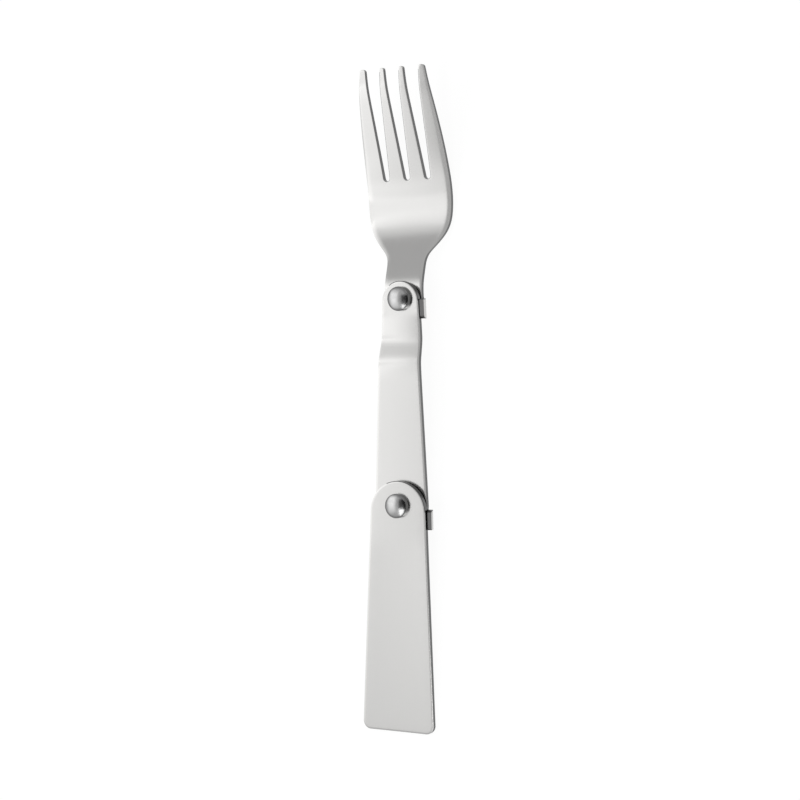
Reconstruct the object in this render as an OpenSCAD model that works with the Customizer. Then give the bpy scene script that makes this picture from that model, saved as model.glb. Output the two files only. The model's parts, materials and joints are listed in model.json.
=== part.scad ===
// Three-leaf folding fork of stainless sheet: a handle, a middle arm and a fork head, joined by two
// domed rivets. Each leaf folds behind the one before it, and a bent-up tab stops it when it is straight.
// Lengths are in millimetres. The fork lies on its bowl and on the butt end of its handle.

/* [Sheet] */
// Thickness of the steel sheet of all three leaves
sheet_t = 1.1; // [1:0.05:1.3]
// Gap between two leaves at a pivot, filled by a spacer washer
leaf_gap = 0.5; // [0.4:0.05:0.8]

/* [Handle] */
// Distance from the rear pivot to the butt end
handle_l = 54.7; // [45:0.5:70]
// Width of the handle beside the rear pivot
handle_front_w = 15; // [13:0.1:16]
// Width of the handle at its butt end
handle_butt_w = 19.6; // [16:0.1:24]
// Distance of the front end's round behind the rear pivot
handle_round_back = 1.6; // [0:0.1:2]
// Corner radius of the butt end
butt_corner_r = 2; // [1:0.1:4]

/* [Middle arm] */
// Distance between the two pivots
arm_span = 49.7; // [46:0.1:56]
// Width of the arm beside the front pivot
arm_front_w = 9.9; // [8.5:0.1:10.5]
// Width of the arm beside the rear pivot
arm_rear_w = 14.2; // [12:0.1:14.3]
// Distance of the front end's round behind the front pivot
arm_round_back = 0.7; // [0:0.1:1.5]
// Height of the step that drops the front half of the arm
joggle_h = 1.4; // [1.2:0.05:1.8]
// Distance from the front pivot to the middle of the step
joggle_back = 12.4; // [11:0.1:16]
// Slope of the step, in degrees
joggle_angle = 15; // [14:1:24]
// Bend radius at the two ends of the step
joggle_r = 7; // [2:0.5:8]
// Angle between the straightened arm and the handle, in degrees
arm_lean = 1; // [0:0.05:2]

/* [Fork head] */
// Distance from the front pivot to the ends of the tines
head_l = 55.6; // [52:0.5:60]
// Width of the neck
neck_w = 10.2; // [9:0.1:10.5]
// Distance of the neck's rear round behind the front pivot
neck_round_back = 0.9; // [0:0.1:1.5]
// Distance from the front pivot to where the neck starts to widen
neck_l = 7.6; // [6:0.1:9]
// Width of the shoulders half-way up their slope
shoulder_w = 18.3; // [15:0.1:19]
// Distance from the front pivot to the half-way point of the shoulders
shoulder_y = 14.5; // [13:0.1:16]
// Slope of the shoulders at that point, in degrees from the fork's length
shoulder_angle = 38; // [30:1:45]
// Greatest width of the fork head
bowl_w = 23; // [20:0.1:26]
// Distance from the front pivot to the widest point
bowl_y = 25.3; // [24:0.1:28]
// Width of the fork head across the ends of its tines
tips_w = 17.6; // [16:0.1:20]
// Slope of the outer tines' outer edges at their ends, in degrees
tips_angle = 10; // [5:1:14]
// Angle between the straightened fork head and the arm, in degrees
head_lean = 1.4; // [0:0.05:2]

/* [Tines] */
// Number of tines
tine_n = 4; // [3:1:4]
// Distance from the front pivot to the bottoms of the slots
slot_root_y = 28.6; // [27:0.1:32]
// Width of a slot at its bottom
slot_root_w = 1.7; // [1.4:0.1:2]
// Width of a slot at the ends of the tines
slot_tip_w = 4.1; // [3.2:0.1:4.2]
// Distance between two slots at their bottoms
slot_root_pitch = 5.7; // [5.4:0.1:6]
// Distance between two slots at the ends of the tines
slot_tip_pitch = 5.3; // [5.2:0.1:5.6]

/* [Fork curve] */
// Length of the flat seat in front of the front pivot
seat_l = 2.1; // [2:0.1:4]
// Angle at which the neck dips behind the flat seat, in degrees
dip_angle = 19.5; // [14:0.5:21]
// Bend radius between the seat and the dip
dip_r = 8; // [4:0.5:10]
// Length of the straight dip
dip_l = 8.8; // [8:0.1:10]
// Bend radius of the bowl
bowl_r = 28; // [25:1:32]
// Angle at which the tines rise, in degrees
tine_angle = 14; // [13:0.5:16]
// Length of the straight part of the tines
tine_straight_l = 20; // [18:0.1:22]
// Bend radius near the ends of the tines
tine_end_r = 25; // [15:1:40]
// Slope left at the very ends of the tines, in degrees
tine_end_angle = 2.4; // [0:0.2:4]
// Thickness of the tines at their ends, to which they thin from the bottoms of the slots
tine_end_t = 0.8; // [0.6:0.05:1]

/* [Stop tabs] */
// Length of a stop tab along its leaf
tab_l = 4.8; // [3.5:0.1:5.5]
// Distance of the arm's tab behind the rear pivot
arm_tab_back = 0.9; // [0.4:0.1:1.2]
// Distance of the fork head's tab behind the front pivot
head_tab_back = 0.2; // [0:0.1:0.6]
// Inner bend radius of a stop tab
tab_bend_r = 0.3; // [0.2:0.05:0.35]
// Height of the arm's tab above the back of the handle
arm_tab_rise = 0.5; // [0.3:0.05:0.9]
// Height of the fork head's tab above the back of the arm
head_tab_rise = 0.8; // [0.3:0.05:1]
// Corner radius at the top of a stop tab, on its rounded end
tab_corner_r = 1.1; // [0.5:0.1:1.5]
// Corner radius at the top of a stop tab, on its square end
tab_small_r = 0.3; // [0.1:0.1:0.5]
// Gap between a stop tab and the edge that it stops against
tab_clearance = 0.08; // [0.05:0.01:0.15]

/* [Rivets] */
// Diameter of a rivet's shank
shank_d = 3.4; // [3:0.1:4]
// Diameter of a rivet's domed head
rivet_head_d = 5.9; // [5:0.1:6.5]
// Height of the straight side of the domed head
rivet_wall_h = 1.1; // [0.8:0.05:1.15]
// Height of the dome above its straight side
rivet_dome_h = 0.6; // [0.4:0.05:0.65]
// Diameter of the closed end on the back
rivet_tail_d = 4.6; // [4.2:0.1:4.8]
// Height of the closed end on the back
rivet_tail_h = 0.45; // [0.3:0.05:0.5]
// Outer diameter of a spacer washer
washer_d = 8; // [7:0.1:9]
// Radial clearance of a leaf or washer that turns on a shank
turn_clearance = 0.05; // [0.02:0.01:0.08]
// Clearance between two faces that slide on each other
face_clearance = 0.05; // [0.02:0.01:0.08]

/* [Hidden] */

$fn = 96;
arc_step = 2.5;
curve_points = 10;
margin = 1;
steel = [0.78, 0.79, 0.8];
polished_steel = [0.62, 0.63, 0.65];
washer_steel = [0.7, 0.71, 0.72];

// Heights of each leaf's front face at its pivots, below the handle's front face.
arm_rear_z = -(sheet_t + leaf_gap);
arm_front_z = arm_rear_z - joggle_h;
head_z = arm_front_z - sheet_t - leaf_gap;

// ---- Points along a bent strip ----
// A strip's front line is a list of steps, each [straight length, bend angle, bend radius]. A positive
// bend turns the line up. Every point is [along, height, heading].
function moved(p, distance) = [p.x + distance * cos(p.z), p.y + distance * sin(p.z), p.z];
function bent(p, angle, r) =
    let (side = sign(angle), to = p.z + angle)
    [p.x + side * r * (sin(to) - sin(p.z)), p.y - side * r * (cos(to) - cos(p.z)), to];
function bend_points(p, angle, r) =
    let (n = max(1, ceil(abs(angle) / arc_step)))
    [for (i = [1:n]) bent(p, angle * i / n, r)];
function strip_line(p, steps, i = 0) =
    i == len(steps) ? [p] :
    let (
        start = moved(p, steps[i][0]),
        bend = steps[i][1] == 0 ? [start] : bend_points(start, steps[i][1], steps[i][2])
    )
    concat([p, start], [for (j = [0:1:len(bend) - 2]) bend[j]],
        strip_line(bend[len(bend) - 1], steps, i + 1));
function distinct(line) =
    [for (i = [0:len(line) - 1]) if (i == 0 || norm(line[i] - line[max(0, i - 1)]) > 0.001) line[i]];
function front_side(line) = [for (p = line) [p.x, p.y]];
function back_side(line, end_t) =
    [for (i = [len(line) - 1:-1:0])
        let (t = sheet_t - (sheet_t - end_t) * max(0, min(1, slot_share(line[i].x))))
        [line[i].x + t * sin(line[i].z), line[i].y - t * cos(line[i].z)]];

// The side view of a strip, drawn along Y and Z and as wide as the given width along X. The strip thins
// to end_t from the bottoms of the slots to the ends of the tines.
module strip_side(line, width, end_t = sheet_t) {
    rotate([90, 0, 90])
        linear_extrude(width, center = true)
            polygon(concat(front_side(line), back_side(line, end_t)));
}

// ---- Outline of a leaf with two rounded ends and straight, tapered sides ----
// The rear round has its centre at rear_y, the front round at front_y. Each round touches both sides.
module tapered_outline(rear_y, rear_r, front_y, front_r) {
    lean = asin((rear_r - front_r) / (front_y - rear_y));
    rear_edge = [rear_r * cos(lean), rear_y + rear_r * sin(lean)];
    front_edge = [front_r * cos(lean), front_y + front_r * sin(lean)];
    polygon([
        rear_edge, front_edge,
        [-front_edge.x, front_edge.y], [-rear_edge.x, rear_edge.y],
    ]);
    translate([0, rear_y]) circle(rear_r);
    translate([0, front_y]) circle(front_r);
}

// Hole for a shank with the given radial clearance.
module pivot_hole(clearance) {
    cylinder(d = shank_d + 2 * clearance, h = 100, center = true);
}

// A stop tab: the sheet runs out to the right, bends up and ends with two rounded top corners. Its inner
// face is at inner_x, its root lies on the leaf, back is its distance behind the pivot, and top is the
// height of its free edge above the back of the leaf.
module stop_tab(inner_x, root_x, back, top, front_r, rear_r) {
    bend_x = inner_x - tab_bend_r;
    bend_z = sheet_t + tab_bend_r;
    bend_outer_r = tab_bend_r + sheet_t;
    rotate([90, 0, 0])
        translate([0, 0, back])
            intersection() {
                linear_extrude(tab_l)
                    union() {
                        translate([root_x, 0])
                            square([bend_x - root_x, sheet_t]);
                        translate([bend_x, bend_z])
                            intersection() {
                                difference() {
                                    circle(bend_outer_r);
                                    circle(tab_bend_r);
                                }
                                translate([0, -bend_outer_r])
                                    square(bend_outer_r);
                            }
                        translate([inner_x, bend_z])
                            square([sheet_t, top - bend_z]);
                    }
                tab_side(inner_x + sheet_t + margin, top, front_r, rear_r);
            }
}

// The side view of a tab, from its front end at x = 0 to its rear end, through the given width.
module tab_side(width, top, front_r, rear_r) {
    rotate([0, 90, 0])
        mirror([1, 0, 0])
            linear_extrude(width)
                union() {
                    translate([0, -margin])
                        square([tab_l, top + margin - max(front_r, rear_r)]);
                    translate([front_r, 0])
                        square([tab_l - front_r - rear_r, top]);
                    translate([front_r, top - front_r])
                        circle(front_r);
                    translate([tab_l - rear_r, top - rear_r])
                        circle(rear_r);
                    translate([tab_l - rear_r, 0])
                        square([rear_r, top - rear_r]);
                    square([front_r, top - front_r]);
                }
}

// ---- Handle ----
handle_taper = atan((handle_butt_w - handle_front_w) / 2 / handle_l);
handle_front_r = (handle_front_w / 2 + handle_round_back * tan(handle_taper)) * cos(handle_taper);

function handle_half_w(y) = handle_front_w / 2 - y * tan(handle_taper);

module handle_outline() {
    corner_y = butt_corner_r - handle_l;
    corner_x = handle_half_w(corner_y) - butt_corner_r / cos(handle_taper);
    edge = butt_corner_r * [cos(handle_taper), sin(handle_taper)];
    front_edge = handle_front_r * [cos(handle_taper), sin(handle_taper)] - [0, handle_round_back];
    side = [[corner_x, -handle_l], [corner_x, corner_y] + edge, front_edge];
    polygon(concat(side, [for (i = [len(side) - 1:-1:0]) [-side[i].x, side[i].y]]));
    translate([0, -handle_round_back])
        circle(handle_front_r);
    for (x = [-corner_x, corner_x])
        translate([x, corner_y])
            circle(butt_corner_r);
}

module handle() {
    color(steel)
        on_table()
            difference() {
                translate([0, 0, -sheet_t])
                    linear_extrude(sheet_t)
                        handle_outline();
                pivot_hole(0);
            }
}

// ---- Middle arm ----
// The right edge of the arm and the straight inner face of the tab on its rear end.
arm_rear_r = arm_rear_w / 2;
arm_tab_end = arm_tab_back + tab_l;
arm_tab_x = (handle_half_w(-arm_tab_end) + tab_clearance) * cos(arm_lean) - arm_tab_end * sin(arm_lean);

function arm_half_w(back) = arm_front_w / 2 + (arm_rear_w - arm_front_w) / 2 * back / arm_span;

module arm_profile() {
    rise = joggle_h - 2 * joggle_r * (1 - cos(joggle_angle));
    slope_l = rise / sin(joggle_angle);
    step_l = slope_l * cos(joggle_angle) + 2 * joggle_r * sin(joggle_angle);
    start = [-(arm_rear_r + margin), arm_rear_z, 0];
    to_step = arm_span - joggle_back - step_l / 2 - start.x;
    past_step = joggle_back - step_l / 2 + arm_front_w;
    strip_side(distinct(strip_line(start, [
        [to_step, -joggle_angle, joggle_r],
        [slope_l, joggle_angle, joggle_r],
        [past_step, 0, 0],
    ])), 2 * arm_rear_w);
}

module middle_arm() {
    front_y = arm_span - arm_round_back;
    front_r = arm_half_w(arm_round_back);
    color(steel)
        on_table() arm_place()
            difference() {
                union() {
                    intersection() {
                        arm_profile();
                        translate([0, 0, arm_front_z - 2 * sheet_t])
                            linear_extrude(joggle_h + 4 * sheet_t)
                                tapered_outline(0, arm_rear_r, front_y, front_r);
                    }
                    translate([0, 0, arm_rear_z - sheet_t])
                        stop_tab(arm_tab_x, shank_d, arm_tab_back, sheet_t + leaf_gap + arm_tab_rise,
                            tab_corner_r, tab_small_r);
                }
                pivot_hole(turn_clearance);
                translate([0, arm_span])
                    pivot_hole(0);
            }
}

// ---- Fork head ----
neck_r = neck_w / 2;
head_tab_end = head_tab_back + tab_l;
head_tab_x = (arm_half_w(head_tab_end) + tab_clearance) * cos(head_lean) - head_tab_end * sin(head_lean);

function bezier(p, t) =
    pow(1 - t, 3) * p[0] + 3 * t * pow(1 - t, 2) * p[1] + 3 * t * t * (1 - t) * p[2] + pow(t, 3) * p[3];
function curve(p) = [for (i = [1:curve_points]) bezier(p, i / curve_points)];

// Points up the right side of the fork head: neck, hollow and crown of the shoulder, outer tine.
function head_side() =
    let (
        neck = [neck_r, neck_l],
        shoulder = [shoulder_w / 2, shoulder_y],
        widest = [bowl_w / 2, bowl_y],
        tip = [tips_w / 2, head_l],
        slope = [sin(shoulder_angle), cos(shoulder_angle)],
        tip_slope = [-sin(tips_angle), cos(tips_angle)],
        neck_pull = (shoulder_y - neck_l) / 2,
        crown_pull = (bowl_y - shoulder_y) / 2.6,
        tine_pull = head_l - bowl_y
    )
    concat(
        [neck],
        curve([neck, neck + [0, neck_pull], shoulder - slope * neck_pull * 1.3, shoulder]),
        curve([shoulder, shoulder + slope * crown_pull * 0.9, widest - [0, crown_pull], widest]),
        curve([widest, widest + [0, tine_pull / 5], tip - tip_slope * tine_pull / 2.6, tip])
    );

// Slots are numbered from the middle of the fork head outwards, left negative and right positive.
function slot_share(y) = (y - slot_root_y) / (head_l - slot_root_y);
function slot_x(slot, y) = slot * (slot_root_pitch + (slot_tip_pitch - slot_root_pitch) * slot_share(y));
function slot_half_w(y) = (slot_root_w + (slot_tip_w - slot_root_w) * slot_share(y)) / 2;
slots = [for (i = [0:tine_n - 2]) i - (tine_n - 2) / 2];

module slot_outline(slot) {
    root_r = slot_root_w / 2;
    root_y = slot_root_y + root_r;
    end_y = head_l + margin;
    polygon([
        [slot_x(slot, root_y) - root_r, root_y], [slot_x(slot, root_y) + root_r, root_y],
        [slot_x(slot, end_y) + slot_half_w(end_y), end_y],
        [slot_x(slot, end_y) - slot_half_w(end_y), end_y],
    ]);
    translate([slot_x(slot, root_y), root_y])
        circle(root_r);
}

// Rounds one tine's end: takes the corners off between its left and right edges at the tip.
module tine_end(left, right) {
    r = (right - left) / 2;
    translate([left - margin / 4, head_l - r])
        difference() {
            square([right - left + margin / 2, r + margin]);
            translate([r + margin / 4, 0])
                circle(r);
        }
}

module head_outline() {
    last = slots[len(slots) - 1];
    edges = concat(
        [-tips_w / 2],
        [for (s = slots) each [slot_x(s, head_l) - slot_half_w(head_l), slot_x(s, head_l) + slot_half_w(head_l)]],
        [tips_w / 2]
    );
    side = concat([[neck_r, -neck_round_back]], head_side());
    difference() {
        union() {
            polygon(concat(side, [for (i = [len(side) - 1:-1:0]) [-side[i].x, side[i].y]]));
            translate([0, -neck_round_back])
                circle(neck_r);
        }
        for (s = slots)
            slot_outline(s);
        for (i = [0:tine_n - 1])
            tine_end(edges[2 * i], edges[2 * i + 1]);
    }
}

head_start = [-(neck_r + neck_round_back + margin), head_z, 0];
head_line = distinct(strip_line(head_start, [
    [seat_l - head_start.x, -dip_angle, dip_r],
    [dip_l, dip_angle + tine_angle, bowl_r],
    [tine_straight_l, tine_end_angle - tine_angle, tine_end_r],
    [head_l / 4, 0, 0],
]));

module fork_head() {
    color(steel)
        on_table() arm_place() head_place()
            difference() {
                union() {
                    intersection() {
                        strip_side(head_line, 2 * bowl_w, tine_end_t);
                        translate([0, 0, head_z - head_l / 2])
                            linear_extrude(head_l)
                                head_outline();
                    }
                    translate([0, 0, head_z - sheet_t])
                        stop_tab(head_tab_x, shank_d, head_tab_back, sheet_t + leaf_gap + head_tab_rise,
                            tab_small_r, tab_corner_r);
                }
                pivot_hole(turn_clearance);
            }
}

// ---- Rivets and washers ----
// A rivet through two leaves and a washer. Its head sits on z = 0 and its shank runs down.
module rivet() {
    grip = 2 * sheet_t + leaf_gap + face_clearance;
    translate([0, 0, -grip])
        cylinder(d = shank_d, h = grip + rivet_wall_h / 2);
    cylinder(d = rivet_head_d, h = rivet_wall_h);
    translate([0, 0, rivet_wall_h])
        dome(rivet_head_d, rivet_dome_h);
    translate([0, 0, -grip])
        mirror([0, 0, 1])
            dome(rivet_tail_d, rivet_tail_h);
}

// A shallow dome on z = 0, part of a sphere.
module dome(d, h) {
    r = (d * d / 4 + h * h) / (2 * h);
    intersection() {
        translate([0, 0, h - r])
            sphere(r);
        cylinder(d = d + margin, h = h + margin);
    }
}

// A washer hanging from z = 0, with room to slide below it.
module washer() {
    translate([0, 0, face_clearance - leaf_gap])
        difference() {
            cylinder(d = washer_d, h = leaf_gap - face_clearance);
            pivot_hole(turn_clearance);
        }
}

module rear_rivet() {
    color(polished_steel)
        on_table()
            rivet();
}

module rear_spacer_washer() {
    color(washer_steel)
        on_table()
            translate([0, 0, -sheet_t])
                washer();
}

module front_rivet() {
    color(polished_steel)
        on_table() arm_place()
            translate([0, arm_span, arm_front_z])
                rivet();
}

module front_spacer_washer() {
    color(washer_steel)
        on_table() arm_place()
            translate([0, arm_span, arm_front_z - sheet_t])
                washer();
}

// ---- Places ----
// The arm turns about the rear pivot, at the origin of the leaves. The fork head turns about the front
// pivot, on the arm.
module arm_place() {
    rotate([0, 0, arm_lean])
        children();
}

module head_place() {
    translate([0, arm_span, 0])
        rotate([0, 0, head_lean])
            children();
}

// The table touches the lower edge of the butt end and the back of the bowl, whose bend has its centre
// above it. The rest angle turns the leaves until both lie on the table.
full_lean = arm_lean + head_lean;
head_pivot = arm_span * [-sin(arm_lean), cos(arm_lean)];
bowl_start = bent([seat_l, head_z, 0], -dip_angle, dip_r) + [dip_l * cos(dip_angle), -dip_l * sin(dip_angle), 0];
bowl_centre = [bowl_start.x + bowl_r * sin(dip_angle), bowl_start.y + bowl_r * cos(dip_angle)];
butt = [-handle_l, -sheet_t];
to_bowl = [head_pivot.y + bowl_centre.x * cos(full_lean), bowl_centre.y] - butt;
rest_angle = asin((bowl_r + sheet_t) / norm(to_bowl)) - atan2(to_bowl.y, to_bowl.x);

// The origin is on the table, below the middle of the fork's length and width.
tips_y = head_pivot.y + head_l * cos(full_lean) + tips_w / 2 * sin(full_lean) / 2;
head_left = -head_pivot.x + bowl_y * sin(full_lean) + bowl_w / 2;
middle_x = (handle_butt_w / 2 - head_left) / 2;
middle_y = (tips_y * cos(rest_angle) - (head_z + sheet_t) * sin(rest_angle) - handle_l * cos(rest_angle)) / 2;
lift = handle_l * sin(rest_angle) + sheet_t * cos(rest_angle);

module on_table() {
    translate([-middle_x, -middle_y, lift])
        rotate([rest_angle, 0, 0])
            children();
}

handle();
rear_rivet();
rear_spacer_washer();
middle_arm();
front_rivet();
front_spacer_washer();
fork_head();
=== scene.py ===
"""A three-leaf folding picnic fork of stainless sheet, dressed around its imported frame.

The handle, the middle arm and the fork head are built as real sheet: a flat pattern with soft polished
edges, which is then bent up at its stop tab and along its length. Two turned rivets join the leaves.
Lengths are in millimetres in the leaves' own space, and in metres in the row frame.
"""

import json
import logging
import math
from dataclasses import dataclass, field, replace
from enum import Enum
from functools import cached_property

import bpy
import numpy as np
from mathutils import Matrix, Vector
from mathutils.geometry import delaunay_2d_cdt


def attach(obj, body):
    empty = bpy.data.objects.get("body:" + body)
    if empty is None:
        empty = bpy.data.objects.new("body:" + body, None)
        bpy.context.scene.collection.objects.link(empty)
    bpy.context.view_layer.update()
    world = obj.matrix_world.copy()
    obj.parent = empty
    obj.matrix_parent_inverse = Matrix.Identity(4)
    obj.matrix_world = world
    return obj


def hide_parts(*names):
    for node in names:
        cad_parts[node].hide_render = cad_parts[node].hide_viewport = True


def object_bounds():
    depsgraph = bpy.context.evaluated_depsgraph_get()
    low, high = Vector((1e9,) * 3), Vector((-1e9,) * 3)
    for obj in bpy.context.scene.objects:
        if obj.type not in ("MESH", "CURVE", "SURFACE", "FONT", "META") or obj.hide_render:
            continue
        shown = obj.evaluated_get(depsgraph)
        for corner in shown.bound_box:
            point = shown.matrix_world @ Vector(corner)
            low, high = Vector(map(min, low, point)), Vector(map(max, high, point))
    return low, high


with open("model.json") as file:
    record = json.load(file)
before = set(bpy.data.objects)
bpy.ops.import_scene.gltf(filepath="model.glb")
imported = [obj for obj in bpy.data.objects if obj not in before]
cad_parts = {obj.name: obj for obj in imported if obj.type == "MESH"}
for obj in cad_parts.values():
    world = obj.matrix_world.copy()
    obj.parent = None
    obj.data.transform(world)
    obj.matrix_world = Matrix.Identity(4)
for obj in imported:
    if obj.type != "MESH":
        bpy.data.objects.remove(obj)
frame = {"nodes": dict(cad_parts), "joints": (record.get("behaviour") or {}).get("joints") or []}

Pair = tuple[float, float]
Triple = tuple[float, float, float]
Values = float | np.ndarray

CAD_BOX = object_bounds()
LOG = logging.getLogger("fork")
MM = 0.001
TINY = 1e-6
SAME = 1e-4
FAR = 1e3
NOWHERE = (FAR, 2 * FAR)

# Sizes that several pieces share
SHEET_T = 1.1
LEAF_GAP = 0.5
STEP_DROP = 1.4
SHANK_R = 1.7
TURN_GAP = 0.05
TAB_L = 4.8
TAB_GAP = 0.08
TAB_SOFT = 0.2
HOLE_SIDES = 64


class Body(Enum):
    """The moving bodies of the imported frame."""

    HANDLE = "handle_body"
    ARM = "arm_body"
    HEAD = "head_body"


class Finish(Enum):
    """The finishes of a leaf, by their place among its materials. The cut and the dark finish are rough steel
    painted dark, as shade.
    """

    FACE = 0
    CUT = 1
    DARK = 2


class Cut(Enum):
    """How an edge of the sheet is finished: the finishes of its front corner, its wall and its back corner,
    whose dark ones are painted shade.
    """

    SMOOTH = (Finish.FACE, Finish.CUT, Finish.FACE)
    # The front corner along part of each round end is painted dark, as the shade of the gap between the
    # leaves.
    SHADED_END = (Finish.CUT, Finish.CUT, Finish.FACE)
    # The slots' front corner and wall are painted darkest, as the shade down inside the slots.
    DEEP_SHADED = (Finish.DARK, Finish.DARK, Finish.FACE)
    # The tabs' outer corner is painted darkest, as a line of shade along their top.
    TAB_SHADED = (Finish.FACE, Finish.CUT, Finish.DARK)


class Slot(Enum):
    """The names of the record's material slots, which each new piece carries."""

    LEAF = "leaf_steel"
    RIVET = "rivet_steel"


# ---------------- places


def rotated(a: np.ndarray, b: np.ndarray, angle: float) -> tuple[np.ndarray, np.ndarray]:
    """Turns places in a plane by an angle in radians."""
    c, s = math.cos(angle), math.sin(angle)
    return a * c - b * s, a * s + b * c


@dataclass(frozen=True)
class LeafSpace:
    """The straightened leaves' space: Y along them, Z out of their front faces, zero at the rear pivot."""

    origin: Triple
    tilt: float

    @classmethod
    def from_joint(cls, joint: dict) -> "LeafSpace":
        """Reads the space from the rear hinge, whose axis points into the leaves."""
        axis = joint["axis"]
        return cls(tuple(joint["pos_m"]), math.atan2(axis[1], -axis[2]))

    def turned(self, vectors: np.ndarray) -> np.ndarray:
        """Turns vectors from the leaves' space into the row frame, with no change of length."""
        x, y, z = np.asarray(vectors, float).T
        return np.stack([x, *rotated(y, z, self.tilt)], axis=-1)

    def to_row(self, points: np.ndarray) -> np.ndarray:
        """Turns points in millimetres into metres in the row frame."""
        return self.turned(np.asarray(points, float) * MM) + np.array(self.origin)

    def from_row(self, point: list[float]) -> np.ndarray:
        """Turns one point of the row frame, in metres, into millimetres in the leaves' space."""
        x, y, z = (np.array(point) - np.array(self.origin)) / MM
        return np.array([x, *rotated(y, z, -self.tilt)])


@dataclass(frozen=True)
class LeafPlace:
    """One leaf's place: its pivot and its lean, in radians, in the leaves' space."""

    space: LeafSpace
    pivot: Pair = (0.0, 0.0)
    lean: float = 0.0

    def to_row(self, points: np.ndarray) -> np.ndarray:
        """Turns points of this leaf into metres in the row frame.

        Args:
            points: the points, in millimetres.
        Returns:
            The same points in the row frame.
        """
        x, y, z = np.asarray(points, float).T
        x, y = rotated(x, y, self.lean)
        return self.space.to_row(np.stack([x + self.pivot[0], y + self.pivot[1], z], axis=-1))


# ---------------- flat patterns


def arc(centre: Pair, radius: float, start: float, end: float, count: int) -> np.ndarray:
    """Points on an arc, from one angle to another, in degrees from +X."""
    angles = np.radians(np.linspace(start, end, count))
    return np.stack([centre[0] + radius * np.cos(angles), centre[1] + radius * np.sin(angles)], axis=-1)


def bezier(handles: list[Pair], count: int) -> np.ndarray:
    """Points on a cubic curve, without its first point.

    Args:
        handles: the curve's two ends and the two handles between them.
        count: the number of points.
    Returns:
        The points, one row each.
    """
    t = (np.arange(count) + 1)[:, None] / count
    p = np.array(handles, float)
    return (1 - t) ** 3 * p[0] + 3 * t * (1 - t) ** 2 * p[1] + 3 * t**2 * (1 - t) * p[2] + t**3 * p[3]


@dataclass
class Pattern:
    """A closed flat outline, counter-clockwise, with the width of its soft edge and its cut at each point."""

    points: np.ndarray
    soft: np.ndarray
    cut: np.ndarray
    mitre_limit: float = 0.3

    @classmethod
    def joined(cls, *runs: tuple[np.ndarray, float, Cut]) -> "Pattern":
        """Joins runs of points, and drops the points that repeat.

        Args:
            runs: the runs, each with one width of soft edge and one kind of cut.
        Returns:
            The pattern.
        """
        points = np.concatenate([run for run, _, _ in runs])
        soft = np.concatenate([np.full(len(run), width) for run, width, _ in runs])
        cuts = np.concatenate([np.full(len(run), cut, dtype=object) for run, _, cut in runs])
        keep = np.linalg.norm(points - np.roll(points, 1, axis=0), axis=1) > SAME
        return cls(points[keep], soft[keep], cuts[keep])

    def spaced(self, spacing: float) -> "Pattern":
        """Adds points on the straight stretches.

        Args:
            spacing: the greatest length that stays between two points.
        Returns:
            The finer pattern.
        """
        points, soft, cuts = [], [], []
        for i in range(len(self.points)):
            j = (i + 1) % len(self.points)
            length = float(np.linalg.norm(self.points[j] - self.points[i]))
            count = max(1, math.ceil(length / spacing))
            for k in range(count):
                points.append(self.points[i] + (self.points[j] - self.points[i]) * k / count)
                soft.append(self.soft[i] + (self.soft[j] - self.soft[i]) * k / count)
                cuts.append(self.cut[i])
        return Pattern(np.array(points), np.array(soft), np.array(cuts, dtype=object))

    def softened(self, passes: int) -> "Pattern":
        """Evens out the jumps in the soft edge's width.

        Args:
            passes: how often each width is evened with the two beside it.
        Returns:
            The evened pattern.
        """
        soft = self.soft.copy()
        for _ in range(passes):
            soft = (np.roll(soft, 1) + 2 * soft + np.roll(soft, -1)) / 4
        return Pattern(self.points, soft, self.cut)

    def inset(self, share: float, widest: float) -> np.ndarray:
        """Moves the outline inwards.

        Args:
            share: the share of the soft edge that it moves by.
            widest: the greatest width of the soft edge.
        Returns:
            The moved points, one row each.
        """
        ahead = np.roll(self.points, -1, axis=0) - self.points
        ahead /= np.linalg.norm(ahead, axis=1)[:, None]
        normal = np.stack([-ahead[:, 1], ahead[:, 0]], axis=-1)
        before = np.roll(normal, 1, axis=0)
        mitre = (normal + before) / (1 + (normal * before).sum(axis=1)).clip(self.mitre_limit)[:, None]
        return self.points + mitre * (np.minimum(self.soft, widest) * share)[:, None]


def inside(points: np.ndarray, loop: np.ndarray) -> np.ndarray:
    """Finds the points that lie inside a closed loop.

    Args:
        points: the points, one row each.
        loop: the loop's points.
    Returns:
        Whether each point is inside.
    """
    found = np.zeros(len(points), bool)
    for (ax, ay), (bx, by) in zip(loop, np.roll(loop, -1, axis=0)):
        crosses = (ay > points[:, 1]) != (by > points[:, 1])
        if ay != by:
            found ^= crosses & (points[:, 0] < (bx - ax) * (points[:, 1] - ay) / (by - ay) + ax)
    return found


def clear_of(points: np.ndarray, obstacles: np.ndarray, distance: float) -> np.ndarray:
    """The points that are at least that far from every obstacle point."""
    keep = [np.min(((obstacles - p) ** 2).sum(axis=1)) > distance**2 for p in points]
    return points[np.array(keep, bool)]


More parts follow.
